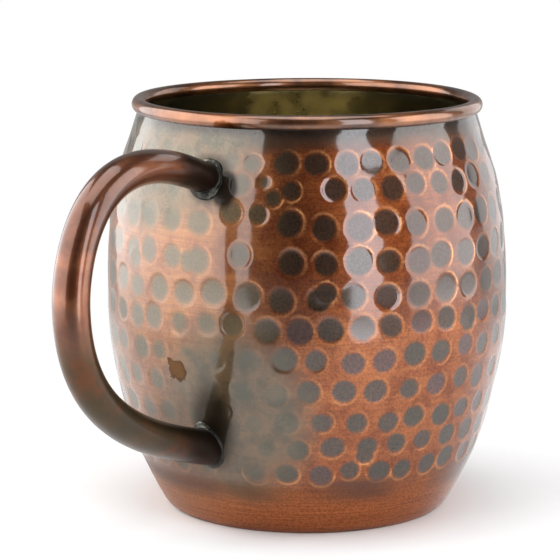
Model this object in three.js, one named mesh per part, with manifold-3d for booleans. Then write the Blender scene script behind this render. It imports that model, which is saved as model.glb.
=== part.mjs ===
// A hammered copper mug: a spun barrel body with its floor in one piece, a rolled ring that
// closes over the body's top edge, and a bent tube handle brazed to the side at both ends.
// Millimetres, +Z up. The origin is the centre of the flat underside. The handle stands
// towards -X, in the XZ plane.
import * as THREE from "three";
import { mergeVertices } from "three/addons/utils/BufferGeometryUtils.js";
import Module from "manifold-3d";

const wasm = await Module();
wasm.setup();

// ---- driving dimensions (mm) ----
const HEIGHT = 95; // underside to the top of the rim ring
// Points of the barrel's outline: radius, height, the way it rises there in degrees above level,
// and how far its curve is drawn that way before and after the point.
const FOOT = { r: 32, z: 0, rise: 0, after: 1 }; // edge of the flat underside
const CORNER = { r: 39.5, z: 12.8, rise: 63.75, before: 8.81, after: 6.13 }; // base becomes wall
const BELLY = { r: 46.5, z: 47.5, rise: 90, before: 11, after: 28.4 }; // widest place
const NECK = { r: 39, z: 91.5, rise: 108.05, before: 14.2 }; // just under the rim ring
const WALL = 1; // copper sheet
const RIM_R = 38.7; // middle of the rim ring's round section
const RIM_SECTION_R = 1.65;
const RIM_SLOT_DEPTH = 1.9; // how far the wall's edge reaches up into the ring
const TUBE_R = 3.95; // outside of the handle tube
const TUBE_WALL = 1;
const TUBE_SUNK = 2; // how far the tube runs on past the barrel's surface before it is cut to it
const APEX = { r: 91.5, z: 61 }; // outermost place of the handle's centre line
const UPPER_JOINT = { z: 81, rise: 21, reach: 46 }; // height, angle above level in degrees, stiffness
const LOWER_JOINT = { z: 20.7, rise: 16, reach: 23.5 };
const APEX_REACH = { up: 8, down: 26 }; // how straight the handle runs above and below the apex
const BRAZE_R = 1.7; // round bead of braze in the corner between tube and wall
const GAP = 0.3; // left between touching pieces

// ---- fineness ----
const AROUND = 64;
const OUTLINE_STEPS = { base: 4, lower: 6, upper: 8 };
const RIM_SIDES = 14;
const TUBE_SIDES = 12;
const TUBE_STEPS = 44;
const BRAZE_SIDES = 8;
const BRAZE_STEPS = 28;
const CONTACT_REACH = 6; // the line where tube and barrel meet lies this near the joint's foot
const CONTACT_HALVINGS = 30;

const rad = THREE.MathUtils.degToRad;
const RIM_Z = HEIGHT - RIM_SECTION_R;
const wallTop = RIM_Z - RIM_SECTION_R + RIM_SLOT_DEPTH;

// ---- materials ----
function metal(color, roughness, metalness) {
  return new THREE.MeshStandardMaterial({ color, roughness, metalness });
}

const hammeredCopper = () => metal(0x9c6a52, 0.38, 1);
const darkCopper = () => metal(0x7d4a38, 0.3, 1);
const tubeCopper = () => metal(0x8a5440, 0.28, 1);
const brazeAlloy = () => metal(0x8f8b7c, 0.45, 1);

// ---- solids ----
function toSolid(geometry) {
  const bare = geometry.index ? geometry.toNonIndexed() : geometry.clone();
  bare.deleteAttribute("normal");
  bare.deleteAttribute("uv");
  const merged = mergeVertices(bare, 1e-4);
  const solid = new wasm.Mesh({
    numProp: 3,
    vertProperties: new Float32Array(merged.attributes.position.array),
    triVerts: new Uint32Array(merged.index.array),
  });
  return new wasm.Manifold(solid);
}

function toGeometry(solid) {
  const mesh = solid.getMesh();
  const geometry = new THREE.BufferGeometry();
  geometry.setAttribute("position", new THREE.BufferAttribute(mesh.vertProperties, 3));
  geometry.setIndex(new THREE.BufferAttribute(mesh.triVerts, 1));
  geometry.computeVertexNormals();
  return geometry;
}

// A profile of (radius, height) points turned round the +Z axis.
function turned(points, segments = AROUND) {
  return new THREE.LatheGeometry(points, segments).rotateX(Math.PI / 2);
}

function add(group, name, geometry, material) {
  const mesh = new THREE.Mesh(geometry, material);
  mesh.name = name;
  group.add(mesh);
}

// ---- the barrel's outline ----
// A distance on from one of the outline's points, the way the outline rises there.
function onward(from, distance) {
  const rise = rad(from.rise);
  return new THREE.Vector2(from.r + distance * Math.cos(rise), from.z + distance * Math.sin(rise));
}

function outlineCurve(start, end, steps) {
  const curve = new THREE.CubicBezierCurve(
    onward(start, 0),
    onward(start, start.after),
    onward(end, -end.before),
    onward(end, 0),
  );
  return curve.getPoints(steps);
}

// From the edge of the flat underside, round the base, out to the belly and in to the neck.
const outline = [
  ...outlineCurve(FOOT, CORNER, OUTLINE_STEPS.base),
  ...outlineCurve(CORNER, BELLY, OUTLINE_STEPS.lower).slice(1),
  ...outlineCurve(BELLY, NECK, OUTLINE_STEPS.upper).slice(1),
];

// The same outline moved along its own normals: inward for a negative distance.
function movedOutline(distance) {
  return outline.map((point, i) => {
    const before = outline[Math.max(i - 1, 0)];
    const after = outline[Math.min(i + 1, outline.length - 1)];
    const along = after.clone().sub(before).normalize();
    return new THREE.Vector2(point.x + along.y * distance, point.y - along.x * distance);
  });
}

function outerRadiusAt(z) {
  const i = outline.findIndex((point) => point.y >= z);
  const [low, high] = [outline[i - 1], outline[i]];
  return THREE.MathUtils.mapLinear(z, low.y, high.y, low.x, high.x);
}

// ---- body ----
function bodyShell() {
  const inner = movedOutline(-WALL).filter((point) => point.y > WALL);
  const profile = [
    new THREE.Vector2(0, 0),
    ...outline,
    new THREE.Vector2(NECK.r, wallTop),
    new THREE.Vector2(NECK.r - WALL, wallTop),
    ...inner.reverse(),
    new THREE.Vector2(FOOT.r - WALL, WALL),
    new THREE.Vector2(0, WALL),
  ];
  return turned(profile);
}

// What other pieces keep clear of: the barrel filled in, one gap larger all round.
function bodyKeepOut() {
  const skin = movedOutline(GAP);
  const top = skin[skin.length - 1];
  const profile = [
    new THREE.Vector2(0, -GAP),
    ...skin,
    new THREE.Vector2(top.x, HEIGHT),
    new THREE.Vector2(0, HEIGHT),
  ];
  return toSolid(turned(profile));
}

// ---- rim ring ----
// A round section with a slot from below, where the wall's edge stands.
function rimRing() {
  const slotInner = NECK.r - WALL - GAP;
  const slotOuter = NECK.r + GAP;
  const slotTop = wallTop + GAP;
  const angleAt = (r) => -Math.acos((r - RIM_R) / RIM_SECTION_R);
  const start = angleAt(slotOuter);
  const end = angleAt(slotInner) + 2 * Math.PI;
  const profile = [];
  for (let i = 0; i <= RIM_SIDES; i++) {
    const angle = THREE.MathUtils.lerp(start, end, i / RIM_SIDES);
    const r = RIM_R + RIM_SECTION_R * Math.cos(angle);
    profile.push(new THREE.Vector2(r, RIM_Z + RIM_SECTION_R * Math.sin(angle)));
  }
  profile.push(new THREE.Vector2(slotInner, slotTop));
  profile.push(new THREE.Vector2(slotOuter, slotTop));
  profile.push(profile[0].clone());
  return turned(profile);
}

// ---- handle ----
// A joint's place on the barrel and the way the tube leaves it, both in the XZ plane.
function jointFrame(joint) {
  const angle = rad(joint.rise);
  return {
    foot: new THREE.Vector3(-outerRadiusAt(joint.z), 0, joint.z),
    way: new THREE.Vector3(-Math.cos(angle), 0, Math.sin(angle)),
  };
}

// Two curves that meet upright at the apex, with a straight lead-in through the wall at each end.
function handlePath() {
  const upper = jointFrame(UPPER_JOINT);
  const lower = jointFrame(LOWER_JOINT);
  const apex = new THREE.Vector3(-APEX.r, 0, APEX.z);
  const above = apex.clone().setZ(APEX.z + APEX_REACH.up);
  const below = apex.clone().setZ(APEX.z - APEX_REACH.down);
  const from = (frame, distance) => frame.foot.clone().addScaledVector(frame.way, distance);
  const path = new THREE.CurvePath();
  path.add(new THREE.LineCurve3(from(upper, -TUBE_SUNK), upper.foot));
  path.add(new THREE.CubicBezierCurve3(upper.foot, from(upper, UPPER_JOINT.reach), above, apex));
  path.add(new THREE.CubicBezierCurve3(apex, below, from(lower, LOWER_JOINT.reach), lower.foot));
  path.add(new THREE.LineCurve3(lower.foot, from(lower, -TUBE_SUNK)));
  return path;
}

function circlePoints(radius) {
  return Array.from({ length: TUBE_SIDES }, (_, i) => {
    const angle = (2 * Math.PI * i) / TUBE_SIDES;
    return new THREE.Vector2(radius * Math.cos(angle), radius * Math.sin(angle));
  });
}

function sweptTube(outerRadius, innerRadius = 0) {
  const section = new THREE.Shape(circlePoints(outerRadius));
  if (innerRadius > 0) {
    section.holes.push(new THREE.Path(circlePoints(innerRadius)));
  }
  return toSolid(
    new THREE.ExtrudeGeometry(section, { steps: TUBE_STEPS, extrudePath: handlePath() }),
  );
}

// ---- braze beads ----
// Where a line parallel to the tube's end meets the barrel, at one place round the tube.
function contactPoint(frame, angle) {
  const side = new THREE.Vector3(0, 1, 0);
  const over = new THREE.Vector3().crossVectors(frame.way, side);
  const start = frame.foot
    .clone()
    .addScaledVector(side, TUBE_R * Math.cos(angle))
    .addScaledVector(over, TUBE_R * Math.sin(angle));
  let [near, far] = [-CONTACT_REACH, CONTACT_REACH];
  for (let i = 0; i < CONTACT_HALVINGS; i++) {
    const middle = (near + far) / 2;
    const point = start.clone().addScaledVector(frame.way, middle);
    if (Math.hypot(point.x, point.y) < outerRadiusAt(point.z)) {
      near = middle;
    } else {
      far = middle;
    }
  }
  return start.addScaledVector(frame.way, near);
}

// A ring of round section that follows the saddle-shaped line where tube and barrel meet.
function brazeBead(joint, keepOuts) {
  const frame = jointFrame(joint);
  const ring = new THREE.TorusGeometry(TUBE_R, BRAZE_R, BRAZE_SIDES, BRAZE_STEPS);
  const position = ring.attributes.position;
  const vertex = new THREE.Vector3();
  for (let i = 0; i < position.count; i++) {
    vertex.fromBufferAttribute(position, i);
    const angle = Math.atan2(vertex.y, vertex.x);
    const outward = Math.hypot(vertex.x, vertex.y) / TUBE_R;
    const contact = contactPoint(frame, angle);
    const along = contact.clone().sub(frame.foot).dot(frame.way);
    const onAxis = frame.foot.clone().addScaledVector(frame.way, along);
    const placed = contact.sub(onAxis).multiplyScalar(outward).add(onAxis);
    placed.addScaledVector(frame.way, vertex.z);
    position.setXYZ(i, placed.x, placed.y, placed.z);
  }
  const bead = toSolid(ring);
  return toGeometry(keepOuts.reduce((solid, keepOut) => solid.subtract(keepOut), bead));
}

// ---- assembly ----
const mug = new THREE.Group();
const keepOut = bodyKeepOut();
const tubeKeepOut = sweptTube(TUBE_R + GAP);
const tube = sweptTube(TUBE_R, TUBE_R - TUBE_WALL).subtract(keepOut);

add(mug, "body_shell", bodyShell(), hammeredCopper());
add(mug, "rim_ring", rimRing(), darkCopper());
add(mug, "handle_tube", toGeometry(tube), tubeCopper());
add(mug, "upper_braze", brazeBead(UPPER_JOINT, [keepOut, tubeKeepOut]), brazeAlloy());
add(mug, "lower_braze", brazeBead(LOWER_JOINT, [keepOut, tubeKeepOut]), brazeAlloy());

export default mug;
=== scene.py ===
import math
import random
from collections import namedtuple

import bpy
import numpy as np
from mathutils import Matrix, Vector
from mathutils.geometry import delaunay_2d_cdt


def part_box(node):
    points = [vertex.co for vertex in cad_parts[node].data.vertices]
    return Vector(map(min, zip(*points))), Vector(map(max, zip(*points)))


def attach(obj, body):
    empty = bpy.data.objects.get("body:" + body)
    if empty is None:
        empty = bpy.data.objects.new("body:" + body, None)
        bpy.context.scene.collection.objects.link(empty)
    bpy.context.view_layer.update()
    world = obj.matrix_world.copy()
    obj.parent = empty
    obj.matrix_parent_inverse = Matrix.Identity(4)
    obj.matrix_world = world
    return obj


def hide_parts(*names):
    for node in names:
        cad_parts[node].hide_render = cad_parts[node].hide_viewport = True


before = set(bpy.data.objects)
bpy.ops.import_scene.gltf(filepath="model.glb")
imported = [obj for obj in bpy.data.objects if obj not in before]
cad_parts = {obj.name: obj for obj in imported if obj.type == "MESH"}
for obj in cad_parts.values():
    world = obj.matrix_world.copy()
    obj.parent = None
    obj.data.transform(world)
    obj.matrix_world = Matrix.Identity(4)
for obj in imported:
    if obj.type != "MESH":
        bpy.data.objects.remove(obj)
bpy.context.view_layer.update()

# --- Sizes, in millimetres. The barrel's axis is Z and the handle stands towards -X ---
MM = 0.001
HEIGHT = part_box("rim_ring")[1].z / MM
RIM_OUTER_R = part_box("rim_ring")[1].y / MM
BELLY_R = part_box("body_shell")[1].y / MM
WALL_TOP_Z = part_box("body_shell")[1].z / MM
APEX_R = -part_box("handle_tube")[0].x / MM
TUBE_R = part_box("handle_tube")[1].y / MM

WALL = 1.0  # copper sheet
# Points of the outline: radius, height, the way it rises there in degrees above level, and how
# far its curve is drawn that way before and after the point.
FOOT = {"r": 32.0, "z": 0.0, "rise": 0.0, "after": 1.0}
CORNER = {"r": 39.5, "z": 12.8, "rise": 63.75, "before": 8.81, "after": 6.13}
BELLY = {"r": BELLY_R, "z": 47.5, "rise": 90.0, "before": 11.0, "after": 28.4}
NECK = {"r": 39.0, "z": 91.5, "rise": 108.05, "before": 14.2}
RIM_SECTION_R = 1.65
RIM_R = RIM_OUTER_R - RIM_SECTION_R
RIM_Z = HEIGHT - RIM_SECTION_R
APEX = (APEX_R - TUBE_R, 61.0)  # outermost place of the handle's centre line
APEX_REACH = (8.0, 26.0)  # how straight the handle runs above and below it
UPPER_JOINT = {"z": 81.0, "rise": 21.0, "reach": 46.0}
LOWER_JOINT = {"z": 20.7, "rise": 16.0, "reach": 23.5}
TUBE_BORE_R = TUBE_R - 1.0
PINCH = 0.13  # how much the tube thins, in the plane of its bend, at the upper joint

# Hammer marks: for each row its height, how many marks go round, the first one's angle in
# degrees from the handle, and the marks' radius.
MARK_ROWS = (
    (85.2, 41, 34.5, 3.0), (79.6, 42, 39.5, 3.0), (71.8, 39, 36.3, 3.2), (63.9, 40, 36.3, 3.25),
    (56.2, 38, 34.5, 3.3), (49.3, 41, 37.8, 3.1), (42.2, 38, 34.5, 3.0), (34.8, 37, 32.3, 2.9),
    (27.8, 37, 35.8, 2.95), (21.9, 36, 39.7, 2.95), (15.8, 38, 35.4, 2.85),
)
# the few blows beside the upper joint that fall out of the rows: height, degrees from the
# handle, radius
STRAYS = (
    (84.6, 15.0, 2.35), (80.2, 12.1, 2.75), (80.9, 19.1, 1.6), (77.6, 21.9, 2.1), (74.2, 17.7, 2.5),
    (79.3, 27.0, 2.4), (74.4, 9.7, 3.0), (65.3, 12.9, 3.0),
)
# under the handle, where the marks hardly show: how strongly, how far, and what is left of them
DULLED = {"z": 39.0, "strength": 1.3, "reach": 14.0, "least": 0.3}
# where the marks fade out: the joint, how strongly, how far, and how far beside it the middle is
FADES = ((LOWER_JOINT, 1.5, 13.0, 5.0), (UPPER_JOINT, 2.5, 8.0, 0.0))
MARK_STEP = (0.02, 0.13)  # how far a mark's flat floor lies below the ridge at its edge
MARK_SAG = 0.09  # extra depth at the middle that makes the floor flat on the round barrel
BROAD_DEPTH = 0.15  # the wider hollow that each blow leaves round its mark
LIP = 0.012  # metal pushed up just outside a mark
BULGE = 0.20  # how far the inside swells behind a mark
SECOND_BLOW = {"share": 0.05, "aside": 2.2, "size": 0.85}  # one that half covers its mark
# A mark's profile in shares of its radius: the width of the hollow round it, the place and
# width of its lip and of the arc that carries a painted highlight, and where and over what width
# its floor gives way to the slope outside.
HOLLOW_WIDTH = 1.25
LIP_AT, LIP_WIDTH = 1.13, 0.09
GLINT_AT, GLINT_WIDTH = 1.06, 0.055
FLOOR_END, FLOOR_FADE = 0.80, 0.32
# which side of the marks' edges carries a painted highlight, in radians from level, at a few heights
GLINT_SIDE = ((14.0, 20.0, 34.0, 60.0), (-1.5, -0.6, -0.1, 0.4))
# rings of points round each mark: share of its radius, and how many points
MARK_RINGS = (
    (0.0, 1), (0.45, 9), (0.70, 14), (0.82, 20), (0.92, 20), (1.00, 20), (1.06, 20), (1.12, 20),
    (1.22, 20), (1.42, 14),
)
HAMMERED = (10.5, 89.0)  # heights between which the wall is laid out round the marks

# Slow waves of a wall shaped by hand, short ones in the plain neck where it was drawn in, and
# the rim's own, outwards and upwards: depth, how many go round, lean with height, and start.
BARREL_WAVES = ((0.07, 3, 0.05, 0.0), (0.05, 5, -0.09, 1.3), (0.04, 8, 0.16, 0.4))
NECK_WAVES = ((0.035, 23, 0.42, 0.0), (0.016, 37, -0.7, 2.0))
RIM_WAVES = ((0.05, 4, 0.0, 0.7), (0.03, 11, 0.0, 0.0))
RIM_LIFTS = ((0.06, 3, 0.0, 2.0),)

BARREL_INSET = 0.12  # keeps the waves within the CAD's outline
NECK_INSET = 0.05
RIM_INSET = (0.08, 0.06)
RIPPLED = (83.0, WALL_TOP_Z - 0.8)  # heights between which the neck's waves stand

HANDLE_ANGLE = math.pi  # the handle's direction round the axis
FULL_TURN = 2 * math.pi

random.seed(7)


def cubic(p0, p1, p2, p3, steps=160):
    """Points of one cubic curve, as rows."""
    t = np.linspace(0.0, 1.0, steps)[:, None]
    p0, p1, p2, p3 = (np.array(p, float) for p in (p0, p1, p2, p3))
    return (1 - t) ** 3 * p0 + 3 * (1 - t) ** 2 * t * p1 + 3 * (1 - t) * t**2 * p2 + t**3 * p3


def joined(*runs):
    """One polyline from runs that meet end to end."""
    return np.vstack([runs[0]] + [run[1:] for run in runs[1:]])


def lengths(points):
    """Distance along a polyline to each of its points."""
    return np.r_[0.0, np.cumsum(np.linalg.norm(np.diff(points, axis=0), axis=1))]


def wrapped(angle):
    """The same angle, between minus and plus half a turn."""
    return (angle + math.pi) % FULL_TURN - math.pi


def smooth(x):
    """0 below 0, 1 above 1, and a soft rise between."""
    x = np.clip(x, 0.0, 1.0)
    return x * x * (3.0 - 2.0 * x)


def waves(angles, z, kinds):
    """The sum of some waves at places round the axis."""
    return sum(depth * np.sin(count * angles + lean * z + start) for depth, count, lean, start in kinds)


# --- The barrel's outline: flat underside, rounded base, belly, neck ---
def onward(start, distance):
    """A distance on from one of the outline's points, the way the outline rises there."""
    rise = math.radians(start["rise"])
    return (start["r"] + distance * math.cos(rise), start["z"] + distance * math.sin(rise))


def outline_curve(start, end):
    leaving, arriving = onward(start, start["after"]), onward(end, -end["before"])
    return cubic(onward(start, 0.0), leaving, arriving, onward(end, 0.0))


OUTLINE = joined(
    np.array([(0.0, 0.0), onward(FOOT, 0.0)]),
    outline_curve(FOOT, CORNER),
    outline_curve(CORNER, BELLY),
    outline_curve(BELLY, NECK),
    np.array([onward(NECK, 0.0), (NECK["r"], WALL_TOP_Z)]),
)
OUTLINE_S = lengths(OUTLINE)
OFF_FLOOR = OUTLINE[:, 1] > 0.01


def outline_at(s):
    """Radius, height and outward normal of the outline at distances s along it."""
    r = np.interp(s, OUTLINE_S, OUTLINE[:, 0])
    z = np.interp(s, OUTLINE_S, OUTLINE[:, 1])
    step = 0.4
    dr = np.interp(s + step, OUTLINE_S, OUTLINE[:, 0]) - np.interp(s - step, OUTLINE_S, OUTLINE[:, 0])
    dz = np.interp(s + step, OUTLINE_S, OUTLINE[:, 1]) - np.interp(s - step, OUTLINE_S, OUTLINE[:, 1])
    size = np.hypot(dr, dz)
    return r, z, dz / size, -dr / size


def s_at_height(z):
    return np.interp(z, OUTLINE[OFF_FLOOR, 1], OUTLINE_S[OFF_FLOOR])


def radius_at(z):
    return np.interp(z, OUTLINE[OFF_FLOOR, 1], OUTLINE[OFF_FLOOR, 0])


# --- Mesh helpers ---
def bridge(lower, upper):
    """Faces between two rings of vertex numbers: equal rings, twice as many, or a single point."""
    n, m = len(lower), len(upper)
    if n == m:
        return [(lower[i], lower[(i + 1) % n], upper[(i + 1) % n], upper[i]) for i in range(n)]
    if m == 1:
        return [(lower[i], lower[(i + 1) % n], upper[0]) for i in range(n)]
    if n == 1:
        return [(lower[0], upper[(i + 1) % m], upper[i]) for i in range(m)]
    if n == 2 * m:
        return [
            (lower[2 * i], lower[2 * i + 1], lower[(2 * i + 2) % n], upper[(i + 1) % m], upper[i])
            for i in range(m)
        ]
    raise ValueError("these rings don't match")


def new_piece(name, blocks, faces):
    """A smooth-shaded mesh object from blocks of points in millimetres."""
    mesh = bpy.data.meshes.new(name)
    mesh.from_pydata((np.vstack(blocks) * MM).tolist(), [], faces)
    mesh.polygons.foreach_set("use_smooth", [True] * len(mesh.polygons))
    piece = bpy.data.objects.new(name, mesh)
    bpy.context.scene.collection.objects.link(piece)
    return piece


def ring_mesh(name, rings):
    """A mesh object that joins rings of points one to the next, and the last to the first."""
    numbers, count = [], 0
    for ring in rings:
        numbers.append(range(count, count + len(ring)))
        count += len(ring)
    faces = []
    for lower, upper in zip(numbers, numbers[1:] + numbers[:1]):
        faces += bridge(lower, upper)
    return new_piece(name, rings, faces)


def around(columns):
    """Angles of one ring, starting at the handle."""
    return HANDLE_ANGLE + FULL_TURN * np.arange(columns) / columns


def ring_points(r, z, angles):
    r = np.broadcast_to(r, angles.shape)
    z = np.broadcast_to(z, angles.shape)
    return np.stack([r * np.cos(angles), r * np.sin(angles), z], axis=1)


def set_attribute(piece, name, values):
    attribute = piece.data.attributes.new(name, "FLOAT", "POINT")
    attribute.data.foreach_set("value", np.asarray(values, np.float32))


def stands_for(piece, node, slot, *materials):
    for material in materials:
        piece.data.materials.append(material)
    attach(piece, "root")
    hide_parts(node)


# --- Hammer marks ---
# place up the outline, angle, the two radii, lean, step, flatness, tilt, tone, how strongly it
# shows, and the side on which its edge carries a painted highlight
Mark = namedtuple("Mark", "place angle slim big lean step flat tilt tone fade side")


def near_joint(angle, z, joint, reach, side):
    """1 at a joint, falling to 0 at a distance of reach, measured from side mm beside it."""
    across = wrapped(angle - HANDLE_ANGLE) * radius_at(z) - side
    return max(0.0, 1.0 - math.hypot(across, z - joint["z"]) / reach)


def covered(angle, z, radius):
    """True where one of the strays takes the place of a row's mark."""
    turn = math.degrees((angle - HANDLE_ANGLE) % FULL_TURN)
    return any(
        math.hypot(math.radians(turn - degrees) * radius_at(z), z - other) < 0.7 * (radius + size)
        for other, degrees, size in STRAYS
    )


def hammer_marks():
    """All the marks: row by row from the top, each with its second blow if it has one, and then
    the strays."""
    marks = []

    def strike(s, angle, radius, fade):
        slim = radius * random.uniform(0.9, 1.0)
        usual_side = float(np.interp(outline_at(s)[1], *GLINT_SIDE))
        lean = random.uniform(0, math.pi)
        step = (MARK_STEP[0] + (MARK_STEP[1] - MARK_STEP[0]) * random.random() ** 2.5) * fade
        flat = random.uniform(0.6, 1.3) * fade
        tilt = (random.gauss(0, 0.013), random.gauss(0, 0.013))
        tone, side = random.random(), random.gauss(usual_side, 0.5)
        marks.append(Mark(s, angle, slim, radius, lean, step, flat, tilt, tone, fade, side))

    for row_z, count, first, usual in MARK_ROWS:
        for i in range(count):
            angle = HANDLE_ANGLE + math.radians(first + 360.0 * i / count + random.uniform(-0.8, 0.8))
            z = row_z + random.uniform(-0.6, 0.6)
            radius = usual * random.uniform(0.92, 1.07)
            fade = 1.0
            for joint, strength, reach, side in FADES:
                fade *= 1.0 - min(1.0, strength * near_joint(angle, z, joint, reach, side))
            if fade < 0.05 or covered(angle, z, radius):
                continue
            dulled = DULLED["strength"] * near_joint(angle, z, DULLED, DULLED["reach"], 0.0)
            fade *= max(DULLED["least"], 1.0 - dulled)
            strike(s_at_height(z), angle, radius, fade)
            if random.random() < SECOND_BLOW["share"]:
                way = random.uniform(0, FULL_TURN)
                s = s_at_height(z) + SECOND_BLOW["aside"] * math.sin(way)
                turn = SECOND_BLOW["aside"] * math.cos(way) / radius_at(z)
                strike(s, angle + turn, radius * SECOND_BLOW["size"], fade)
    for z, degrees, radius in STRAYS:
        strike(s_at_height(z), HANDLE_ANGLE + math.radians(degrees), radius, 1.0)
    return marks


def barrel_r(s):
    return float(np.interp(s, OUTLINE_S, OUTLINE[:, 0]))


def from_mark(mark, s, angles):
    """Offsets round and up the barrel from a mark, and how far out as a share of its radius."""
    u, v = wrapped(angles - mark.angle) * barrel_r(mark.place), s - mark.place
    x = (u * math.cos(mark.lean) + v * math.sin(mark.lean)) / mark.slim
    y = (v * math.cos(mark.lean) - u * math.sin(mark.lean)) / mark.big
    return u, v, np.hypot(x, y)


def hump(far, middle, width):
    """1 at the middle, falling away softly on both sides."""
    return np.exp(-(((far - middle) / width) ** 2))


def struck(s, angles, marks):
    """For points at distances s up the outline and the given angles: how far the hammer sank
    the surface, the signed distance to the nearest mark's edge, that mark's tone, and how
    strong the painted highlight on the edge is."""
    near = [np.abs(s - mark.place) < 2.6 * mark.big for mark in marks]
    sunk = np.zeros(s.shape)
    for mark, at in zip(marks, near):
        far = from_mark(mark, s[at], angles[at])[2]
        sunk[at] += mark.fade * (BROAD_DEPTH * hump(far, 0.0, HOLLOW_WIDTH))
        sunk[at] -= mark.fade * LIP * hump(far, LIP_AT, LIP_WIDTH)
    edge, tone, glint = np.full(s.shape, NO_EDGE), np.zeros(s.shape), np.zeros(s.shape)
    for mark, at in zip(marks, near):
        u, v, far = from_mark(mark, s[at], angles[at])
        floor = mark.step + mark.fade * 0.75 * BROAD_DEPTH + mark.flat * MARK_SAG * (1 - far**2)
        floor = floor + mark.tilt[0] * u + mark.tilt[1] * v
        within = 1.0 - smooth((far - FLOOR_END) / FLOOR_FADE)
        sunk[at] = sunk[at] * (1.0 - within) + floor * within
        outside = (far - 1.0) * (mark.slim + mark.big) / 2 + 1.5 * (1.0 - mark.fade)
        nearer = outside < edge[at]
        edge[at] = np.where(nearer, outside, edge[at])
        tone[at] = np.where(nearer, mark.tone, tone[at])
        # a painted highlight on the side of the edge where light catches it
        facing = np.clip(np.cos(np.arctan2(v, u) - mark.side), 0.0, 1.0)
        arc = np.sqrt(facing) * hump(far, GLINT_AT, GLINT_WIDTH) * (far > 0.97)
        glint[at] = np.where(within > 0.5, 0.0, np.maximum(glint[at], mark.fade * arc))
    return sunk, edge, tone, glint


def swelling(s, angles, marks):
    """How far the inside of the wall bulges behind the marks."""
    bulge = np.zeros(s.shape)
    for mark in marks:
        at = np.abs(s - mark.place) < 2.2 * mark.big
        far = from_mark(mark, s[at], angles[at])[2]
        bulge[at] = np.maximum(bulge[at], mark.fade * BULGE * hump(far, 0.0, 1.1))
    return bulge


def ripples(angles, z):
    """How far the neck's short waves sink its surface."""
    shown = smooth((z - RIPPLED[0]) / 3.5) * smooth((RIPPLED[1] - z) / 2.0)
    return (waves(angles, z, NECK_WAVES) + NECK_INSET) * shown


# --- Body ---
COLUMNS = 360  # points in each plain ring of the barrel
FILL = 1.5  # spacing of the points between the marks
FILL_COLUMNS = 190
SPACING = 0.2  # no two points of the hammered sheet come closer than this
EDGE_GAP = 0.35  # how far they keep from its lower and upper edge
SEAM_GAP = 0.4  # and from the seam behind the handle
NO_EDGE = 9.0  # distance to the nearest mark, in mm, where there is none


def held_at(z):
    """1 on the hammered wall, 0 at the foot and under the rim."""
    return np.clip((z - 1.0) / 10.0, 0, 1) * np.clip((WALL_TOP_Z - 3.0 - z) / 6.0, 0, 1)


def round_marks(low, high, marks):
    """Rings of points round every mark: their distances up the outline and their angles. Where
    two marks overlap, the later one's floor is whole."""
    kept_s, kept_a = [], []
    for index, mark in enumerate(marks):
        turned = random.uniform(0.0, FULL_TURN)
        for share, count in MARK_RINGS:
            t = FULL_TURN * np.arange(count) / count + turned
            x, y = share * mark.slim * np.cos(t), share * mark.big * np.sin(t)
            u = x * math.cos(mark.lean) - y * math.sin(mark.lean)
            v = x * math.sin(mark.lean) + y * math.cos(mark.lean)
            s, a = mark.place + v, mark.angle + u / barrel_r(mark.place)
            keep = (s > low + EDGE_GAP) & (s < high - EDGE_GAP)
            for other_index, other in enumerate(marks):
                if other_index == index or abs(other.place - mark.place) > 8.0:
                    continue
                clear = LIP_AT if share > 1.05 or other_index > index else 0.0
                keep &= from_mark(other, s, a)[2] > clear
            kept_s.append(s[keep])
            kept_a.append(a[keep])
    return np.concatenate(kept_s), np.concatenate(kept_a)


def between_marks(low, high, marks):
    """The same for rows of points that fill the rest of the sheet."""
    s, a = np.meshgrid(
        np.arange(low + FILL / 2, high - FILL / 3, FILL),
        np.arange(0.5, FILL_COLUMNS) * FULL_TURN / FILL_COLUMNS, indexing="ij",
    )
    s, a = s.ravel(), a.ravel()
    s = s + np.array([random.uniform(-0.3, 0.3) for _ in s])
    free = np.ones(s.shape, bool)
    for mark in marks:
        free &= from_mark(mark, s, a)[2] > 1.5
    return s[free], a[free]


def thinned(up, across):
    """Which points are left when none may lie closer than SPACING to one before it."""
    cells, kept = {}, []
    for i, (y, x) in enumerate(zip(up, across)):
        row, column = int(y / SPACING), int(x / SPACING)
        close = any(
            (y - up[j]) ** 2 + (x - across[j]) ** 2 < SPACING**2
            for r in (row - 1, row, row + 1) for c in (column - 1, column, column + 1)
            for j in cells.get((r, c), ())
        )
        if not close:
            cells.setdefault((row, column), []).append(i)
            kept.append(i)
    return kept


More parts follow.
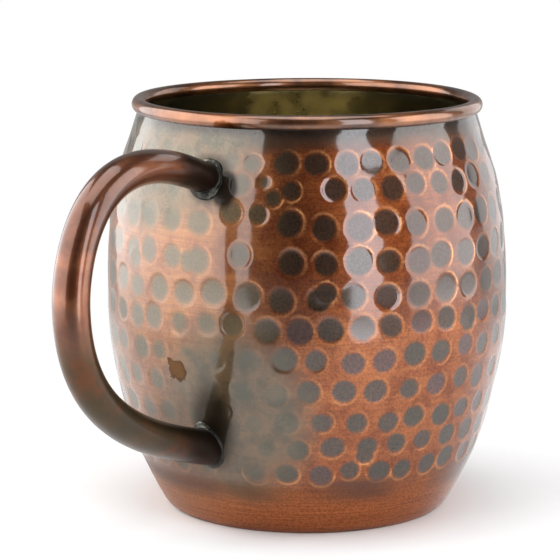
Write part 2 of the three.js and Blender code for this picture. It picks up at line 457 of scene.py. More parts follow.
def sheet(low, high, marks):
    """The hammered part of the wall, unrolled between two distances up the outline. The points
    are rings round every mark and a fill between them. Returns their distance up the outline,
    their angle, and triangles; the first COLUMNS points are the low edge, the next the high."""
    seam_s = np.linspace(low, high, round((high - low) / FILL) + 1)[1:-1]
    width = FULL_TURN * BELLY_R
    inner_s, inner_a = np.hstack([round_marks(low, high, marks), between_marks(low, high, marks)])
    inner_a = (inner_a - HANDLE_ANGLE) % FULL_TURN
    clear = (inner_a * BELLY_R > SEAM_GAP) & (inner_a * BELLY_R < width - SEAM_GAP)
    inner_s, inner_a = inner_s[clear], inner_a[clear]
    kept = thinned(inner_s, inner_a * BELLY_R)
    inner_s, inner_a = inner_s[kept], inner_a[kept]

    edge_a = around(COLUMNS) - HANDLE_ANGLE
    flat_s = np.r_[np.full(COLUMNS, low), np.full(COLUMNS, high), seam_s, inner_s]
    flat_a = np.r_[edge_a, edge_a, np.zeros(len(seam_s)), inner_a]
    # the far side of the seam repeats the near side's points
    seam = list(range(2 * COLUMNS, 2 * COLUMNS + len(seam_s)))
    twins = {len(flat_s) + i: near for i, near in enumerate([0] + seam + [COLUMNS])}
    plane = [Vector((a * BELLY_R, s)) for s, a in zip(flat_s, flat_a)]
    plane += [Vector((width, flat_s[near])) for near in twins.values()]
    border = [*range(COLUMNS), *twins, *range(2 * COLUMNS - 1, COLUMNS - 1, -1), *seam[::-1]]
    edges = list(zip(border, border[1:] + border[:1]))
    _, _, triangles, sources, _, _ = delaunay_2d_cdt(plane, edges, [], 1, 1e-6)
    origin = [min(s) if s else -1 for s in sources]
    number = [twins.get(o, o) for o in origin]
    faces = [tuple(number[v] for v in triangle) for triangle in triangles]
    return flat_s, flat_a + HANDLE_ANGLE, faces


def body():
    """The barrel: the hammered sheet, plain rings below and above it, and the inside."""
    marks = hammer_marks()
    low, high = (float(s_at_height(z)) for z in HAMMERED)
    sheet_s, sheet_a, sheet_faces = sheet(low, high, marks)

    def placed(s, a, thickness=0.0):
        """Points of the wall's outside, or inside if a thickness is given, and their looks."""
        sunk, edge, tone, glint = struck(s, a, marks)
        r, z, out_r, out_z = outline_at(s)
        held = held_at(z)
        if thickness:
            sunk = swelling(s, a, marks)
        sunk = (sunk + waves(a, z, BARREL_WAVES) + BARREL_INSET) * held
        sunk = thickness + sunk + ripples(a, z)
        z_new = z - out_z * sunk * (1.0 if thickness else held)
        r_new = r - out_r * sunk
        return np.stack([r_new * np.cos(a), r_new * np.sin(a), z_new], axis=-1), (edge, tone, glint)

    points, looks = placed(sheet_s, sheet_a)
    angles = around(COLUMNS)
    inner_angles = around(COLUMNS // 2)
    # distances along the outline, which on the underside are the rings' radii
    below = np.r_[np.linspace(low, FOOT["r"], 12)[1:], 31, 28, 22, 14, 6]
    above = np.linspace(high, OUTLINE_S[-1], 9)[1:]
    # the part of the inside that is seen, and the rest of it
    upper = np.arange(OUTLINE_S[-1], s_at_height(72.0), -0.9)
    bend = s_at_height(10.0)
    lower = np.r_[np.linspace(upper[-1], bend, 34)[1:], np.linspace(bend, FOOT["r"], 8)[1:], 25, 16, 8]

    blocks, faces, painted = [points], list(sheet_faces), [looks]
    total = len(points)

    def add_ring(ring, ring_looks):
        nonlocal total
        blocks.append(ring)
        painted.append(ring_looks)
        total += len(ring)
        return range(total - len(ring), total)

    def plain(count):
        return np.full(count, NO_EDGE), np.zeros(count), np.zeros(count)

    last = range(COLUMNS)
    for s in below:
        new = add_ring(*placed(np.full(COLUMNS, s), angles))
        faces += bridge(new, last)
        last = new
    tip = add_ring(np.zeros((1, 3)), plain(1))
    faces += bridge(tip, last)

    last = range(COLUMNS, 2 * COLUMNS)
    for s in above:
        new = add_ring(*placed(np.full(COLUMNS, s), angles))
        faces += bridge(last, new)
        last = new
    outer_faces = len(faces)
    for s, ring_angles in [(s, angles) for s in upper] + [(s, inner_angles) for s in lower]:
        ring, _ = placed(np.full(len(ring_angles), s), ring_angles, WALL)
        ring[:, 2] = np.maximum(ring[:, 2], WALL)
        if s == OUTLINE_S[-1]:
            ring = ring_points(NECK["r"] - WALL, WALL_TOP_Z, ring_angles)
        new = add_ring(ring, plain(len(ring_angles)))
        faces += bridge(last, new)
        last = new
    tip = add_ring(np.array([[0.0, 0.0, WALL]]), plain(1))
    faces += bridge(last, tip)

    piece = new_piece("hammered_body", blocks, faces)
    for name, values in zip(("edge_mm", "tone", "glint"), zip(*painted)):
        set_attribute(piece, name, np.concatenate(values))
    stands_for(piece, "body_shell", "hammered_copper", hammered_copper(), inside_metal())
    inside = np.arange(len(faces)) >= outer_faces
    piece.data.polygons.foreach_set("material_index", inside.astype(np.int32))


# --- Rim ring: a round section, slotted from below where the wall's edge stands ---
RIM_COLUMNS = 300
RIM_SIDES = 26
SLOT_GAP = 0.3


def rim():
    slot_in, slot_out = NECK["r"] - WALL - SLOT_GAP, NECK["r"] + SLOT_GAP
    start = -math.acos((slot_out - RIM_R) / RIM_SECTION_R)
    end = FULL_TURN - math.acos((slot_in - RIM_R) / RIM_SECTION_R)
    section = [
        (RIM_R + RIM_SECTION_R * math.cos(a), RIM_Z + RIM_SECTION_R * math.sin(a))
        for a in np.linspace(start, end, RIM_SIDES)
    ]
    section += [(slot_in, WALL_TOP_Z + SLOT_GAP), (slot_out, WALL_TOP_Z + SLOT_GAP)]
    angles = around(RIM_COLUMNS)
    wobble, lift = waves(angles, 0.0, RIM_WAVES), waves(angles, 0.0, RIM_LIFTS) - RIM_INSET[1]
    rings = [ring_points(r + wobble - RIM_INSET[0], z + lift, angles) for r, z in section]
    stands_for(ring_mesh("rolled_rim", rings), "rim_ring", "rim_copper", rim_copper())


# --- Handle ---
TUBE_SIDES = 40
TUBE_STEP = 0.9  # spacing of its rings
TUBE_OUTER_R = TUBE_R - 0.03  # a hair within the CAD's tube
SPARE = 9.0  # how far the centre line runs on into the barrel
END_REACH = 14.0  # how far from each end the tube's rings lean to suit the wall
PINCH_REACH = 0.3  # share of the handle over which the pinch fades
HALVINGS = 30  # steps in looking for the wall along a line
SIDEWAYS = np.array([0.0, 1.0, 0.0])  # across the plane of the handle's bend


def joint_frame(joint):
    """The joint's place on the barrel and the way the tube leaves it."""
    rise = math.radians(joint["rise"])
    foot = np.array([-radius_at(joint["z"]), 0.0, joint["z"]])
    return foot, np.array([-math.cos(rise), 0.0, math.sin(rise)])


def handle_line():
    """Points along the handle's centre line, from the upper joint to the lower one."""
    upper, upper_way = joint_frame(UPPER_JOINT)
    lower, lower_way = joint_frame(LOWER_JOINT)
    apex = np.array([-APEX[0], 0.0, APEX[1]])
    above, below = apex + (0, 0, APEX_REACH[0]), apex - (0, 0, APEX_REACH[1])
    return joined(
        cubic(upper, upper + upper_way * UPPER_JOINT["reach"], above, apex),
        cubic(apex, below, lower + lower_way * LOWER_JOINT["reach"], lower),
    )


def where_met(inside, outside, point_at):
    """Distances at which points reach the barrel's surface, between ones inside and outside."""
    for _ in range(HALVINGS):
        middle = (inside + outside) / 2
        p = point_at(middle)
        within = np.hypot(p[:, 0], p[:, 1]) < radius_at(p[:, 2])
        inside, outside = np.where(within, middle, inside), np.where(within, outside, middle)
    return inside, outside


def contact(foot, way, offset):
    """Where lines along way, beside foot by each row of offset, meet the barrel."""
    def point_at(distance):
        return foot + offset + distance[:, None] * way

    return point_at(where_met(np.full(len(offset), -7.0), np.full(len(offset), 7.0), point_at)[0])


def handle():
    """The bent tube: its outside and its bore, joined at both ends where they meet the wall."""
    line = handle_line()
    total = lengths(line)[-1]
    _, upper_way = joint_frame(UPPER_JOINT)
    _, lower_way = joint_frame(LOWER_JOINT)
    longer = np.vstack([line[0] - SPARE * upper_way, line, line[-1] - SPARE * lower_way])
    along = lengths(longer) - SPARE

    def centre(at):
        return np.stack([np.interp(at, along, longer[:, k]) for k in range(3)], axis=-1)

    def tube_points(s, radius):
        """Points on a tube round the line: s is the distance along it, one column per side."""
        way = centre(s + 0.6) - centre(s - 0.6)
        way /= np.linalg.norm(way, axis=-1, keepdims=True)
        over = np.cross(way, SIDEWAYS)
        turn = FULL_TURN * np.arange(s.shape[-1]) / s.shape[-1]
        thin = 1.0 - PINCH * np.clip(1.0 - s / (PINCH_REACH * total), 0.0, 1.0) ** 1.3
        across = radius * np.cos(turn)[..., None] * SIDEWAYS
        return centre(s) + across + (radius * np.sin(turn) * thin)[..., None] * over

    def meets_wall(inside, outside, radius):
        """For each side of the tube, how far along the line it meets the barrel."""
        ends = np.full(TUBE_SIDES, inside), np.full(TUBE_SIDES, outside)
        return sum(where_met(*ends, lambda s: tube_points(s, radius))) / 2

    stations = np.linspace(0.0, total, round(total / TUBE_STEP))[:, None]
    walls = []
    for radius in (TUBE_OUTER_R, TUBE_BORE_R):
        first = meets_wall(0.5 - SPARE, SPARE, radius)
        last = meets_wall(total + (SPARE - 0.5), total - SPARE, radius) - total
        s = stations + first * np.clip(1.0 - stations / END_REACH, 0.0, 1.0) ** 2
        s = s + last * np.clip(1.0 - (total - stations) / END_REACH, 0.0, 1.0) ** 2
        walls.append(list(tube_points(s, radius)))
    piece = ring_mesh("bent_handle", walls[0] + walls[1][::-1])
    stands_for(piece, "handle_tube", "tube_copper", tube_copper())


# --- Braze fillets ---
FILLET_COLUMNS = 96
FILLET_ROWS = 8
FILLET_ROOT = 0.35  # how far it reaches into the wall
# places round the tube, in degrees, where more braze ran together: how much, how wide
UPPER_BLOBS = ((100.0, 0.8, 30.0), (245.0, 0.4, 24.0))
LOWER_BLOBS = ((280.0, 1.2, 22.0), (200.0, 0.1, 30.0))


def fillet(name, node, joint, thin, usual, blobs):
    """A hollow-faced ring of braze in the corner between tube and wall. thin is how much the
    tube is pinched there, and usual is the ring's height and width away from the blobs."""
    foot, way = joint_frame(joint)
    angles = FULL_TURN * np.arange(FILLET_COLUMNS) / FILLET_COLUMNS
    size = usual * (1.0 + 0.23 * np.sin(3 * angles + 1.0) + 0.14 * np.sin(7 * angles + joint["z"]))
    for place, more, width in blobs:
        size = size + more * hump(wrapped(angles - math.radians(place)), 0.0, math.radians(width))
    over = np.cross(way, SIDEWAYS)
    seam = TUBE_R * np.cos(angles)[:, None] * SIDEWAYS
    seam = seam + TUBE_R * (1 - thin) * np.sin(angles)[:, None] * over
    outward = seam / np.linalg.norm(seam, axis=1)[:, None]
    points = []
    # from the tube's side down to the wall along a hollow curve, and back inside the wall
    for bend in np.linspace(0.0, 1.0, FILLET_ROWS):
        base = contact(foot, way, seam + outward * (size * bend**2)[:, None])
        points.append(base + (size * (1.0 - bend) ** 2)[:, None] * way)
    for aside in (size[:, None] * 0.5, -0.25):
        points.append(contact(foot, way, seam + outward * aside) - FILLET_ROOT * way)
    stands_for(ring_mesh(name, points[::-1]), node, "braze_alloy", braze_alloy())


# --- Materials ---
class Shader:
    """Builds one material's or world's nodes from short calls. Lengths are metres."""

    def __init__(self, owner):
        owner.use_nodes = True
        self.owner = owner
        self.tree = owner.node_tree
        self.surface = self.tree.nodes.get("Principled BSDF")
        self.place = self.node("ShaderNodeTexCoord").outputs["Object"]

    def fill(self, node, inputs):
        """Gives some of a node's inputs a value or a link."""
        for key, value in inputs.items():
            if isinstance(value, bpy.types.NodeSocket):
                self.tree.links.new(value, node.inputs[key])
            else:
                node.inputs[key].default_value = value

    def node(self, kind, inputs=None, **settings):
        made = self.tree.nodes.new(kind)
        for key, value in settings.items():
            setattr(made, key, value)
        self.fill(made, inputs or {})
        return made

    def math(self, operation, a, b, clamp=False):
        made = self.node("ShaderNodeMath", {0: a, 1: b}, operation=operation, use_clamp=clamp)
        return made.outputs[0]

    def plus(self, a, b):
        return self.math("ADD", a, b)

    def times(self, a, b):
        return self.math("MULTIPLY", a, b)

    def most(self, a, b):
        return self.math("MAXIMUM", a, b)

    def rest(self, value):
        """What is left of 1."""
        return self.math("SUBTRACT", 1.0, value)

    def swing(self, noise, amount):
        """A noise turned into an offset to either side of nothing."""
        return self.times(self.math("SUBTRACT", noise, 0.5), amount)

    def vector(self, operation, a, b=(0.0, 0.0, 0.0), output="Vector"):
        return self.node("ShaderNodeVectorMath", {0: a, 1: b}, operation=operation).outputs[output]

    def noise(self, scale, detail, rough, place=None):
        place = self.place if place is None else place
        inputs = {"Vector": place, "Scale": scale, "Detail": detail, "Roughness": rough}
        return self.node("ShaderNodeTexNoise", inputs).outputs["Fac"]

    def between(self, factor, a, b):
        """a where factor is 0, b where it is 1."""
        return self.node("ShaderNodeMix", {0: factor, 2: a, 3: b}, data_type="FLOAT").outputs[0]

    def ramp(self, value, low, high, kind="SMOOTHSTEP", to=(0.0, 1.0)):
        """0 below low and 1 above high, or the two numbers of to."""
        inputs = {"Value": value, "From Min": low, "From Max": high, "To Min": to[0], "To Max": to[1]}
        return self.node("ShaderNodeMapRange", inputs, interpolation_type=kind).outputs[0]

    def fading(self, value, low, high):
        """1 below low, 0 above high."""
        return self.rest(self.ramp(value, low, high))

    def mix(self, factor, a, b, blend="MIX"):
        """The same as between for colours, or another way of blending b into a."""
        a, b = ((*colour, 1.0) if isinstance(colour, tuple) else colour for colour in (a, b))
        inputs = {0: factor, 6: a, 7: b}
        return self.node("ShaderNodeMix", inputs, data_type="RGBA", blend_type=blend).outputs[2]

    def attribute(self, name):
        return self.node("ShaderNodeAttribute", attribute_name=name).outputs["Fac"]

    def away_from(self, point, squash=(1.0, 1.0, 1.0)):
        """Distance from a point, in metres."""
        scaled = self.vector("MULTIPLY", self.vector("SUBTRACT", self.place, point), squash)
        return self.vector("LENGTH", scaled, output="Value")

    def across(self, axis):
        """How far along one axis, in metres."""
        return self.node("ShaderNodeSeparateXYZ", {0: self.place}).outputs[axis]

    def bump(self, value, distance, before=None):
        inputs = {"Height": value, "Distance": distance}
        if before is not None:
            inputs["Normal"] = before
        return self.node("ShaderNodeBump", inputs).outputs[0]

    def seen(self):
        """1 where the camera looks straight at the surface, 0 in what is mirrored or lit."""
        return self.node("ShaderNodeLightPath").outputs["Is Camera Ray"]

    def glow(self, colour, strength):
        return self.node("ShaderNodeEmission", {"Color": colour, "Strength": strength}).outputs[0]

    def blend(self, factor, a, b):
        """Surface a where factor is 0, b where it is 1."""
        return self.node("ShaderNodeMixShader", {0: factor, 1: a, 2: b}).outputs[0]

    def show(self, surface):
        self.fill(self.tree.get_output_node("ALL"), {"Surface": surface})

    def finish(self, colour, roughness, normal, coat=1.0, coat_roughness=0.06, coat_ior=1.7):
        self.fill(self.surface, {
            "Base Color": colour, "Roughness": roughness, "Normal": normal, "Metallic": 1.0,
            "Coat Weight": coat, "Coat Roughness": coat_roughness, "Coat IOR": coat_ior,
        })
        return self.owner


def new_material(name):
    return Shader(bpy.data.materials.new(name))


def turned(degrees, r, z):
    """A point in metres, at an angle from the handle."""
    angle = HANDLE_ANGLE + math.radians(degrees)
    return (r * math.cos(angle) * MM, r * math.sin(angle) * MM, z * MM)


def on_barrel(degrees, z):
    """A point on the barrel, in metres, at an angle from the handle."""
    return turned(degrees, float(radius_at(z)), z)


def under_rim(degrees):
    """A point low on the outside of the rim ring, in metres, at an angle from the handle."""
    return turned(degrees, RIM_R + 0.75 * RIM_SECTION_R, RIM_Z - 0.66 * RIM_SECTION_R)


def brushed(s):
    """Fine lines that run round the barrel, left by the polishing wheel."""
    inputs = {"Vector": s.place, "Scale": (60.0, 60.0, 2600.0)}
    squeezed = s.node("ShaderNodeMapping", inputs, vector_type="POINT").outputs[0]
    return s.ramp(s.noise(1.0, 4.0, 0.65, squeezed), 0.3, 0.7, "LINEAR")


def hammered_copper():
    s = new_material("hammered_copper")
    grain = s.noise(1300.0, 3.0, 0.6)
    speck = s.noise(1750.0, 3.0, 0.75)
    blotch = s.noise(190.0, 4.0, 0.65)
    cloud = s.noise(70.0, 4.0, 0.6)
    slow = s.noise(26.0, 3.0, 0.5)
    lines = brushed(s)
    z = s.across("Z")
    ragged = s.plus(s.swing(grain, 0.8), s.swing(blotch, 1.1))
    edge = s.plus(s.attribute("edge_mm"), ragged)

    # saturated copper low down, browner above, greyer on the handle's side
    high = s.ramp(s.plus(z, s.swing(slow, 0.03)), 0.040, 0.060)
    handle_side = s.away_from(on_barrel(-28.0, 62.0), (1.0, 1.0, 0.55))
    handle_side = s.fading(handle_side, 0.026, 0.046)
    floor = s.between(handle_side, s.fading(edge, -0.85, 0.15), s.fading(edge, -1.5, 0.5))
    # painted highlights: pale crescents on one side of the marks' edges, where light catches them
    glint_mask = s.math("MULTIPLY", s.attribute("glint"), s.plus(0.45, blotch), clamp=True)
    glint_mask = s.times(glint_mask, s.between(handle_side, 1.0, 0.6))
    ridge = s.mix(s.ramp(z, 0.012, 0.018), (0.48, 0.152, 0.043), (0.48, 0.168, 0.062))
    ridge = s.mix(high, ridge, (0.255, 0.070, 0.018))
    ridge = s.mix(handle_side, ridge, (0.37, 0.160, 0.058))
    deep = s.mix(1.0, ridge, (0.48, 0.40, 0.48), "MULTIPLY")
    mottled = s.times(s.ramp(blotch, 0.40, 0.66), s.times(s.ramp(z, 0.008, 0.017), 0.9))
    ridge = s.mix(mottled, ridge, deep)
    ridge = s.mix(s.times(lines, 0.75), ridge, deep)
    # the colour of the painted highlights
    glint_colour = s.mix(handle_side, (0.80, 0.36, 0.14), (0.55, 0.24, 0.10))
    ridge = s.mix(glint_mask, ridge, glint_colour)

    # the marks' dark floors, and specks over everything
    tone = s.attribute("tone")
    dark = s.mix(s.ramp(tone, 0.1, 0.7), (0.041, 0.030, 0.022), (0.026, 0.030, 0.021))
    dark = s.mix(s.ramp(tone, 0.75, 0.95), dark, (0.062, 0.030, 0.031))
    dark = s.mix(s.times(high, 0.7), dark, (0.030, 0.015, 0.009))
    dark = s.mix(handle_side, dark, (0.100, 0.085, 0.052))
    faint = s.most(handle_side, s.times(high, floor))
    lighter = s.mix(faint, (1.9, 1.8, 1.7), (1.3, 1.25, 1.2))
    lighter = s.mix(1.0, dark, lighter, "MULTIPLY")
    dark = s.mix(s.times(s.ramp(speck, 0.42, 0.62), 0.7), dark, lighter)
    colour = s.mix(s.times(floor, 0.92), ridge, dark)
    speckled = s.mix(faint, (0.66, 0.62, 0.60), (0.84, 0.82, 0.80))
    speckled = s.mix(1.0, colour, speckled, "MULTIPLY")
    colour = s.mix(s.ramp(speck, 0.40, 0.56), speckled, colour)

    # grey-green film from the heat of brazing, a darker band all round just under the rim, and a brown
    # stain
    shaken = s.swing(cloud, 0.008)
    low = s.away_from(on_barrel(9.0, 28.0), (1.0, 1.0, 0.80))
    low = s.fading(s.plus(low, shaken), 0.012, 0.022)
    top = s.away_from(on_barrel(-20.0, 88.0), (1.0, 1.0, 1.25))
    top = s.fading(s.plus(top, shaken), 0.018, 0.030)
    neck = s.ramp(s.plus(z, shaken), 0.0862, 0.0900)
    patchy = s.ramp(s.plus(slow, s.times(cloud, 0.5)), 0.38, 0.68)
    film = s.times(s.most(low, top), patchy)
    uneven = s.plus(s.times(blotch, 0.6), s.times(speck, 0.4))
    grey = s.mix(s.ramp(uneven, 0.40, 0.60), (0.128, 0.096, 0.056), (0.070, 0.066, 0.040))
    colour = s.mix(s.times(neck, 0.85), colour, (0.042, 0.031, 0.021))
    colour = s.mix(s.times(film, 0.85), colour, grey)
    # the painted highlights on the lowest row's edges show through it
    colour = s.mix(s.times(glint_mask, s.fading(z, 0.0150, 0.0185)), colour, glint_colour)
    stain = s.away_from(on_barrel(-7.5, 38.2), (0.85, 0.85, 1.05))
    stain = s.plus(stain, s.swing(blotch, 0.009))
    inner_stain, stain = s.fading(stain, 0.0012, 0.0017), s.fading(stain, 0.0019, 0.0022)
    colour = s.mix(s.times(stain, 0.9), colour, (0.065, 0.026, 0.008))
    colour = s.mix(s.times(inner_stain, 0.9), colour, (0.120, 0.052, 0.011))

    # soot round the two joints, with a patch of painted shade beside each
    soot = s.plus(s.away_from(on_barrel(1.5, UPPER_JOINT["z"])), s.times(cloud, 0.003))
    # beside the upper joint: painted shade and a painted dark reflection of the tube
    patch = s.away_from(on_barrel(6.5, UPPER_JOINT["z"] - 1.5), (1.0, 1.0, 0.7))
    patch = s.fading(s.plus(patch, s.times(cloud, 0.002)), 0.0034, 0.0050)
    upper_soot_and_shade = s.most(s.times(s.fading(soot, 0.0055, 0.0085), 0.8), patch)
    soot = s.away_from(on_barrel(3.0, LOWER_JOINT["z"] + 5.0), (1.3, 1.3, 0.62))
    soot = s.fading(s.plus(soot, s.times(cloud, 0.004)), 0.0060, 0.0120)
    # beside the lower joint: painted shade
    patch = s.fading(s.away_from(on_barrel(-13.0, LOWER_JOINT["z"])), 0.006, 0.017)
    lower_soot_and_shade = s.most(s.times(soot, 0.85), s.times(patch, 0.4))
    colour = s.mix(upper_soot_and_shade, colour, (0.020, 0.014, 0.010))
    colour = s.mix(lower_soot_and_shade, colour, (0.022, 0.016, 0.010))

    # a darker band where the hammering stops, and the shadowed crevice under the rim
    band = s.times(s.ramp(z, 0.0065, 0.0105), s.fading(z, 0.0130, 0.0155))
    band = s.times(band, s.times(s.ramp(slow, 0.3, 0.6), 0.85))
    colour = s.mix(band, colour, (0.10, 0.050, 0.036))
    colour = s.mix(s.times(s.ramp(z, 0.0892, 0.0915), 0.85), colour, (0.02, 0.012, 0.009))

    rough = s.plus(0.38, s.times(grain, 0.14))
    normal = s.bump(grain, 0.000012, s.bump(lines, 0.000006))
    # the lacquer is worn thin on the ridges low down, at the foot, where the metal is burnt and
    # under the painted shade by the joints, but not on the part of the right side that shines
    worn = s.times(s.rest(high), s.rest(floor))
    worn = s.times(worn, s.rest(s.most(handle_side, film)))
    worn = s.plus(s.times(worn, 0.6), s.times(s.ramp(speck, 0.4, 0.6), 0.2))
    burnt_and_shaded = s.most(upper_soot_and_shade, s.most(lower_soot_and_shade, stain))
    at_foot = s.math("SUBTRACT", 0.8, s.times(s.ramp(z, 0.011, 0.015), 0.8))
    worn = s.most(worn, s.most(s.times(burnt_and_shaded, 0.8), at_foot))
    shining = s.away_from(on_barrel(118.0, 30.0), (1.0, 1.0, 0.3))
    worn = s.times(worn, s.ramp(shining, 0.014, 0.032))
    return s.finish(colour, rough, normal, coat=s.rest(worn), coat_roughness=0.08)


def inside_metal():
    s = new_material("inside_metal")
    cloud = s.noise(70.0, 4.0, 0.6)
    patch = s.noise(130.0, 3.0, 0.5)
    grain = s.noise(700.0, 3.0, 0.6)
    colour = s.mix(s.ramp(cloud, 0.3, 0.7), (0.50, 0.455, 0.31), (0.36, 0.325, 0.22))
    # a painted highlight: a pale gold patch high on the far inside wall
    gold_highlight = s.fading(s.away_from(on_barrel(213.0, 86.0), (1.0, 1.0, 1.6)), 0.011, 0.026)
    gold_highlight = s.times(gold_highlight, s.ramp(patch, 0.34, 0.64))
    colour = s.mix(gold_highlight, colour, (0.88, 0.72, 0.31))
    rough = s.plus(s.plus(0.14, s.times(grain, 0.12)), s.times(gold_highlight, 0.16))
    return s.finish(colour, rough, s.bump(grain, 0.00002), coat=0.2)


def rim_copper():
    s = new_material("rim_copper")
    cloud = s.noise(60.0, 4.0, 0.6)
    grain = s.noise(900.0, 3.0, 0.6)
    colour = s.mix(s.ramp(cloud, 0.28, 0.68), (0.36, 0.138, 0.057), (0.070, 0.029, 0.015))
    scorched = s.plus(s.away_from(under_rim(4.5), (1.0, 1.0, 2.0)), s.swing(grain, 0.002))
    scorched = s.fading(scorched, 0.0020, 0.0030)
    colour = s.mix(s.times(scorched, 0.9), colour, (0.15, 0.040, 0.009))
    rough = s.plus(0.28, s.times(grain, 0.14))
    coat = s.between(scorched, 0.75, 0.1)
    return s.finish(colour, rough, s.bump(grain, 0.00001), coat, coat_roughness=0.10)


def tube_copper():
    s = new_material("tube_copper")
    cloud = s.noise(70.0, 4.0, 0.6)
    grain = s.noise(1100.0, 3.0, 0.6)
    colour = s.mix(s.ramp(cloud, 0.35, 0.65), (0.31, 0.108, 0.046), (0.115, 0.040, 0.021))
    z = s.plus(s.across("Z"), s.swing(cloud, 0.03))
    colour = s.mix(s.times(s.ramp(z, 0.068, 0.082), 0.5), colour, (0.060, 0.021, 0.013))
    aged = s.fading(z, 0.044, 0.062)
    colour = s.mix(s.times(aged, 0.88), colour, (0.040, 0.032, 0.013))
    soot = s.ramp(s.plus(s.across("X"), s.swing(cloud, 0.010)), -0.061, -0.051)
    colour = s.mix(s.times(soot, 0.92), colour, (0.020, 0.011, 0.008))
    blotch = s.times(s.ramp(s.noise(150.0, 3.0, 0.6), 0.50, 0.66), s.rest(soot))
    colour = s.mix(s.times(blotch, 0.5), colour, (0.15, 0.038, 0.013))
    rough = s.plus(s.plus(0.32, s.times(grain, 0.14)), s.times(soot, 0.12))
    coat = s.between(s.most(soot, s.times(aged, 0.85)), 1.0, 0.3)
    normal = s.bump(grain, 0.00001)
    return s.finish(colour, rough, normal, coat, coat_roughness=0.10, coat_ior=1.5)


def braze_alloy():
    s = new_material("braze_alloy")
    grain = s.noise(900.0, 4.0, 0.6)
    cloud = s.noise(260.0, 3.0, 0.6)
    colour = s.mix(s.ramp(cloud, 0.34, 0.54), (0.15, 0.15, 0.12), (0.014, 0.013, 0.010))
    # the lower ring is dark but for its top
    lower = s.fading(s.across("Z"), 0.0235, 0.0260)
    colour = s.mix(s.times(lower, 0.75), colour, (0.022, 0.019, 0.015))
    rough = s.plus(0.30, s.times(grain, 0.2))
    return s.finish(colour, rough, s.bump(grain, 0.00008), coat=0.2, coat_roughness=0.2)


# --- Studio: pale floor, soft boxes, and a camera a little above the rim ---
CAMERA_TURN = -58.5
CAMERA_DISTANCE = 600.0
CAMERA_HEIGHT = 162.7
CAMERA_PITCH = 10.47
CAMERA_YAW = 0.59
LENS_MM = 168.5
ROOM_DIM = 0.055  # brightness of the room behind the camera
ROOM_PALE = 0.34  # brightness of the room beyond the mug
ROOM_CHANGE = (0.743, 0.788)  # where one gives way to the other: cosines from straight ahead
FLOOR_NEAR, FLOOR_FAR, FLOOR_SIDE = -900, 3600, 1800  # the floor's reach from the mug
FLOOR_SHADE = 0.18  # how bright the floor towards the camera is where the mug mirrors it
FLOOR_BEYOND = 0.50  # and how bright beyond the mug
WHITE = (1.0, 1.0, 1.0)


def seen_from_camera(turn, distance, z):
    """A place round the mug, turn degrees to the right of the camera, in metres."""
    a, t = math.radians(CAMERA_TURN), math.radians(turn)
    back = Vector((math.sin(a), -math.cos(a), 0.0))
    right = Vector((math.cos(a), math.sin(a), 0.0))
    place = (back * math.cos(t) + right * math.sin(t)) * distance
    return Vector((place.x, place.y, z)) * MM


def stage_card(name, corners, shader):
    """A flat four-cornered piece of the studio."""
    mesh = bpy.data.meshes.new(name)
    mesh.from_pydata([tuple(c) for c in corners], [], [(0, 1, 2, 3)])
    mesh.materials.append(shader.owner)
    card = bpy.data.objects.new(name, mesh)
    bpy.context.scene.collection.objects.link(card)
    return card


def soft_box(name, turn, distance, width, height, brightness, at_foot, fade, colour=WHITE):
    """An upright glowing card standing on the table, facing the mug; it isn't seen directly.
    Over the first fade mm of its height it brightens from at_foot."""
    middle = seen_from_camera(turn, distance, 0.0)
    side = seen_from_camera(turn + 90.0, width / 2, 0.0)
    up = Vector((0.0, 0.0, height * MM))
    s = new_material(name)
    strength = s.ramp(s.across("Z"), 0.0, fade * MM, to=(at_foot, brightness))
    front = s.rest(s.node("ShaderNodeNewGeometry").outputs["Backfacing"])
    s.show(s.glow((*colour, 1.0), s.times(strength, front)))
    corners = [middle + side, middle - side, middle - side + up, middle + side + up]
    stage_card(name, corners, s).visible_camera = False


def overhead(name, width, height, brightness):
    light = bpy.data.lights.new(name, "AREA")
    light.shape = "SQUARE"
    light.size = width * MM
    light.energy = brightness * math.pi * light.size**2
    lamp = bpy.data.objects.new(name, light)
    lamp.location = (0.0, 0.0, height * MM)
    lamp.visible_camera = False
    bpy.context.scene.collection.objects.link(lamp)


def room():
    """White where it is seen directly. What the mug mirrors of it is dim behind the camera and
    pale beyond the mug."""
    s = Shader(bpy.data.worlds.new("room"))
    turn = math.radians(CAMERA_TURN)
    way = s.node("ShaderNodeTexCoord").outputs["Generated"]
    ahead = s.vector("DOT_PRODUCT", way, (-math.sin(turn), math.cos(turn), 0.0), "Value")
    strength = s.ramp(ahead, *ROOM_CHANGE, to=(ROOM_DIM, ROOM_PALE))
    mirrored = s.node("ShaderNodeBackground", {"Strength": strength}).outputs[0]
    white = s.node("ShaderNodeBackground", {"Color": (*WHITE, 1.0)}).outputs[0]
    s.show(s.blend(s.seen(), mirrored, white))
    bpy.context.scene.world = s.owner


def studio():
    # degrees from the camera, distance, width, height, brightness, that at the foot, and fade
    soft_box("left_box", -81.7, 205.0, 530.0, 400.0, 2.9, 1.6, 50.0)
    soft_box("strip", 30.2, 240.0, 74.0, 300.0, 5.2, 3.2, 20.0, (0.93, 0.98, 1.04))
    soft_box("right_box", 78.5, 260.0, 205.0, 320.0, 3.3, 1.4, 40.0)
    soft_box("back_right_box", 133.0, 300.0, 190.0, 320.0, 1.4, 0.8, 40.0)
    overhead("overhead", 900.0, 1100.0, 3.0)
    room()
    bpy.context.scene.view_settings.view_transform = "Standard"


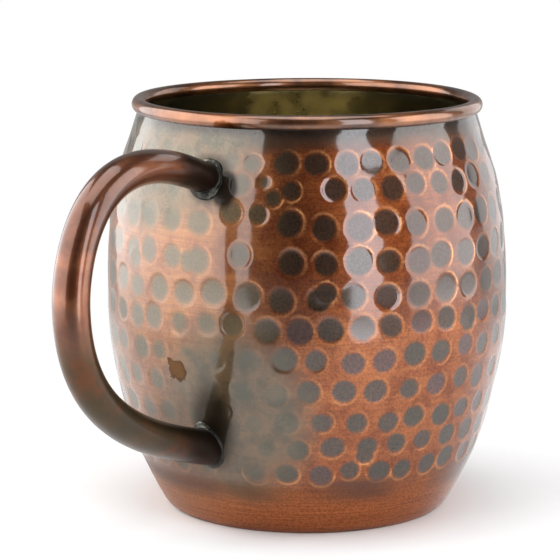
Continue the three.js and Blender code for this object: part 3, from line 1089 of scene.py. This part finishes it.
def floor():
    """A pale table under the mug. It takes the mug's soft shadow and turns plain white further
    out. What the mug mirrors of it falls into shade towards the camera and dims beyond the mug."""
    back, right = seen_from_camera(180.0, 1.0, 0.0), seen_from_camera(90.0, 1.0, 0.0)
    down = Vector((0.0, 0.0, -0.05)) * MM
    corners = [
        back * FLOOR_NEAR - right * FLOOR_SIDE + down, back * FLOOR_NEAR + right * FLOOR_SIDE + down,
        back * FLOOR_FAR + right * FLOOR_SIDE + down, back * FLOOR_FAR - right * FLOOR_SIDE + down,
    ]
    s = new_material("pale_floor")
    nearer = s.vector("DOT_PRODUCT", s.place, tuple(-back / back.length), "Value")
    seen = s.seen()
    mirrored = s.rest(seen)
    shade = s.times(s.ramp(nearer, 0.08, 0.50), mirrored)
    table = s.mix(shade, (0.82, 0.82, 0.82), (FLOOR_SHADE,) * 3)
    s.fill(s.surface, {"Base Color": table, "Roughness": 0.8})
    beyond = s.times(s.ramp(s.times(nearer, -1.0), 0.04, 0.25), mirrored)
    white = s.mix(beyond, s.mix(shade, WHITE, (FLOOR_SHADE,) * 3), (FLOOR_BEYOND,) * 3)
    away = s.away_from((0.0, 0.0, 0.0))
    # seen directly it is plain white before it reaches the cards, so that their shade doesn't show
    plain = s.times(s.ramp(away, 0.11, 0.19), seen)
    further = s.most(s.ramp(away, 0.07, 0.42), plain)
    s.show(s.blend(further, s.surface.outputs[0], s.glow(white, 1.0)))
    stage_card("pale_floor", corners, s)


def camera():
    data = bpy.data.cameras.new("camera")
    data.sensor_width = 36.0
    data.lens = LENS_MM
    data.clip_start, data.clip_end = 0.05, 20.0
    eye = bpy.data.objects.new("camera", data)
    eye.location = seen_from_camera(0.0, CAMERA_DISTANCE, CAMERA_HEIGHT)
    eye.rotation_euler = (
        math.radians(90.0 - CAMERA_PITCH), 0.0, math.radians(CAMERA_TURN + CAMERA_YAW)
    )
    bpy.context.scene.collection.objects.link(eye)
    bpy.context.scene.camera = eye


camera()
studio()
floor()
body()
rim()
handle()
fillet("upper_braze_fillet", "upper_braze", UPPER_JOINT, PINCH, 0.7, UPPER_BLOBS)
fillet("lower_braze_fillet", "lower_braze", LOWER_JOINT, 0.0, 0.48, LOWER_BLOBS)
